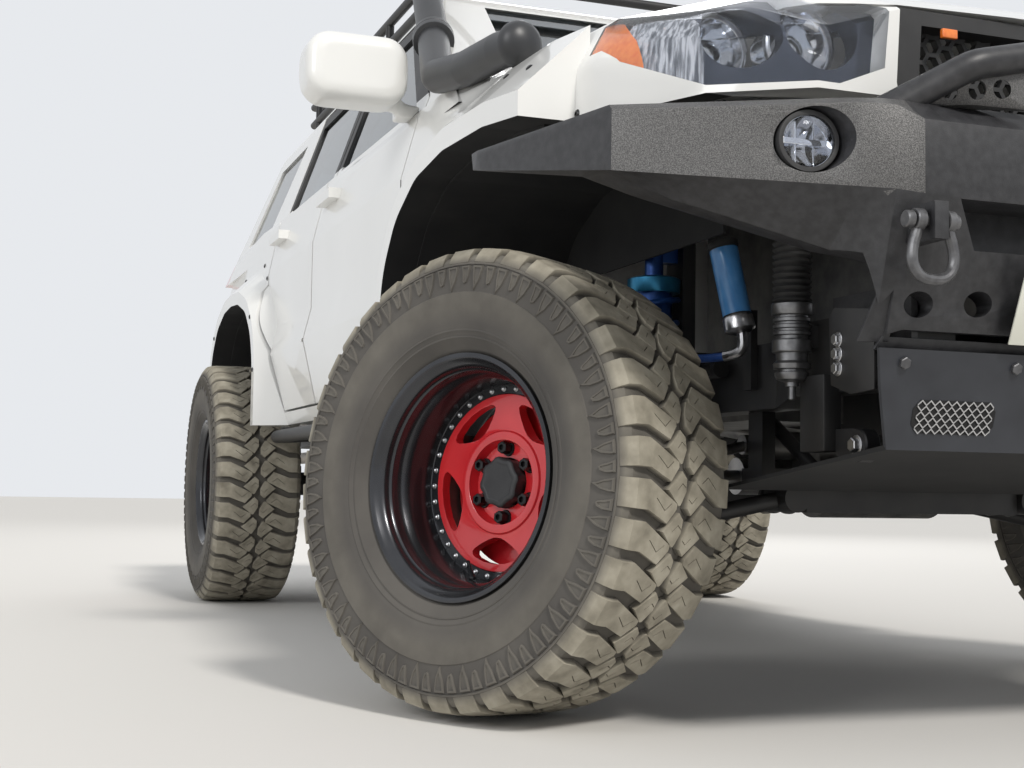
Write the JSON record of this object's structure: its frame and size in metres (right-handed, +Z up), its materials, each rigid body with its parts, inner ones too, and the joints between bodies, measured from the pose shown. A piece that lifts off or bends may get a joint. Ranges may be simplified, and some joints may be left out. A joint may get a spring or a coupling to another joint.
{
  "type": "lifted off-road 4x4",
  "caption": "Lifted four-wheel-drive wagon on mud tyres with steel front bumper, snorkel, rack and sliders; steered front wheels, doors, hood and tailgate move",
  "frame": {"origin": "on the ground under the middle of the vehicle's box", "axes": "+Z up, front toward -Y, the vehicle's left side toward +X"},
  "size_m": [2.5055, 4.89, 2.015],
  "materials": {
    "body_paint": "gloss white with a slight pearl",
    "liner_black": "dull black moulded",
    "frame_black": "satin black chassis paint",
    "bumper_coat": "coarse textured powder coat",
    "skid_black": "satin black powder coat",
    "tyre_rubber": "dusty tread and dark sidewall",
    "rim_black": "satin black",
    "wheel_red": "gloss red",
    "glass": "clear tempered",
    "lamp_lens": "clear lens over smoked housing",
    "trim_black": "grained black plastic",
    "snorkel_plastic": "smooth moulded black",
    "cast_metal": "rough cast",
    "shaft_steel": "oiled steel",
    "damper_blue": "anodised blue with bright steel",
    "exhaust_steel": "heat stained",
    "shackle_grey": "hammered grey",
    "interior": "dark grey upholstery"
  },
  "bodies": {
    "root": {"ladder_frame": "frame_black", "body_shell": "body_paint", "front_fenders": "body_paint", "wheel_liners": "liner_black", "grille": "trim_black", "lamps": "lamp_lens", "fixed_glass": "glass", "front_bumper": "bumper_coat", "skid_plate": "skid_black", "rear_bumper": "bumper_coat", "side_sliders": "frame_black", "snorkel": "snorkel_plastic", "roof_rack": "frame_black", "powertrain": "cast_metal", "drive_shafts": "shaft_steel", "rear_axle": "frame_black", "rear_suspension": "frame_black", "control_arms": "frame_black", "coilovers": "damper_blue", "steering_rack": "cast_metal", "exhaust": "exhaust_steel", "fuel_tank": "trim_black", "dashboard": "interior", "seats": "interior", "shackles": "shackle_grey"},
    "hood": {"hood": "body_paint"},
    "tailgate": {"tailgate": "body_paint", "tailgate_glass": "glass"},
    "steering_wheel": {"steering_wheel": "trim_black"},
    "tie_rods": {"tie_rods": "shaft_steel"},
    "knuckle_right": {"knuckle_right": "cast_metal"},
    "knuckle_left": {"knuckle_left": "cast_metal"},
    "door_front_right": {"door_front_right": "body_paint", "door_glass_front_right": "glass", "mirror_right": "body_paint"},
    "door_rear_right": {"door_rear_right": "body_paint", "door_glass_rear_right": "glass"},
    "door_front_left": {"door_front_left": "body_paint", "door_glass_front_left": "glass", "mirror_left": "body_paint"},
    "door_rear_left": {"door_rear_left": "body_paint", "door_glass_rear_left": "glass"},
    "wheel_front_right": {"tyre_front_right": "tyre_rubber", "rim_front_right": "rim_black", "wheel_centre_front_right": "wheel_red"},
    "wheel_front_left": {"tyre_front_left": "tyre_rubber", "rim_front_left": "rim_black", "wheel_centre_front_left": "wheel_red"},
    "wheel_rear_right": {"tyre_rear_right": "tyre_rubber", "rim_rear_right": "rim_black", "wheel_centre_rear_right": "wheel_red"},
    "wheel_rear_left": {"tyre_rear_left": "tyre_rubber", "rim_rear_left": "rim_black", "wheel_centre_rear_left": "wheel_red"}
  },
  "joints": [
    {"name": "steer_right", "type": "hinge", "parent": "root", "child": "knuckle_right", "pos_m": [-0.758, -1.477, 0.45], "axis": [0, 0, 1], "range_deg": [-58, 2]},
    {"name": "steer_left", "type": "hinge", "parent": "root", "child": "knuckle_left", "pos_m": [0.758, -1.477, 0.45], "axis": [0, 0, 1], "range_deg": [-58, 2]},
    {"name": "rack_slide", "type": "slide", "parent": "root", "child": "tie_rods", "axis": [1, 0, 0], "range_m": [-0.14, 0.0049]},
    {"name": "steering_wheel_turn", "type": "hinge", "parent": "root", "child": "steering_wheel", "pos_m": [0.37, -0.477, 1.246], "axis": [0, 0.9063, 0.4226], "range_deg": [-870, 30]},
    {"name": "wheel_front_right_spin", "type": "hinge", "parent": "knuckle_right", "child": "wheel_front_right", "pos_m": [-0.92535, -1.56598, 0.44695], "axis": [-0.8808, -0.4683, 0.0698], "continuous": true},
    {"name": "wheel_front_left_spin", "type": "hinge", "parent": "knuckle_left", "child": "wheel_front_left", "pos_m": [0.92576, -1.3878, 0.442], "axis": [0.8829, 0.4695, 0], "continuous": true},
    {"name": "wheel_rear_right_spin", "type": "hinge", "parent": "root", "child": "wheel_rear_right", "pos_m": [-0.9575, 1.338, 0.442], "axis": [-1, 0, 0], "continuous": true},
    {"name": "wheel_rear_left_spin", "type": "hinge", "parent": "root", "child": "wheel_rear_left", "pos_m": [0.9575, 1.338, 0.442], "axis": [1, 0, 0], "continuous": true},
    {"name": "door_front_right_hinge", "type": "hinge", "parent": "root", "child": "door_front_right", "pos_m": [-0.95, -0.819, 0.885], "axis": [0, 0, 1], "range_deg": [0, 65]},
    {"name": "door_rear_right_hinge", "type": "hinge", "parent": "root", "child": "door_rear_right", "pos_m": [-0.953, 0.212, 0.885], "axis": [0.0523, 0, 0.9986], "range_deg": [0, 65]},
    {"name": "door_front_left_hinge", "type": "hinge", "parent": "root", "child": "door_front_left", "pos_m": [0.95, -0.819, 0.885], "axis": [0, 0, -1], "range_deg": [0, 65]},
    {"name": "door_rear_left_hinge", "type": "hinge", "parent": "root", "child": "door_rear_left", "pos_m": [0.953, 0.212, 0.885], "axis": [0.0523, 0, -0.9986], "range_deg": [0, 65]},
    {"name": "hood_hinge", "type": "hinge", "parent": "root", "child": "hood", "pos_m": [0, -1.047, 1.412], "axis": [-1, 0, 0], "range_deg": [0, 50]},
    {"name": "tailgate_hinge", "type": "hinge", "parent": "root", "child": "tailgate", "pos_m": [0, 1.784, 1.809], "axis": [1, 0, 0], "range_deg": [0, 80]}
  ],
  "couplings": [
    {"joint": "steer_left", "follows": "steer_right", "ratio": 1},
    {"joint": "rack_slide", "follows": "steer_right", "m_per_rad": 0.13405},
    {"joint": "steering_wheel_turn", "follows": "steer_right", "ratio": 15}
  ]
}
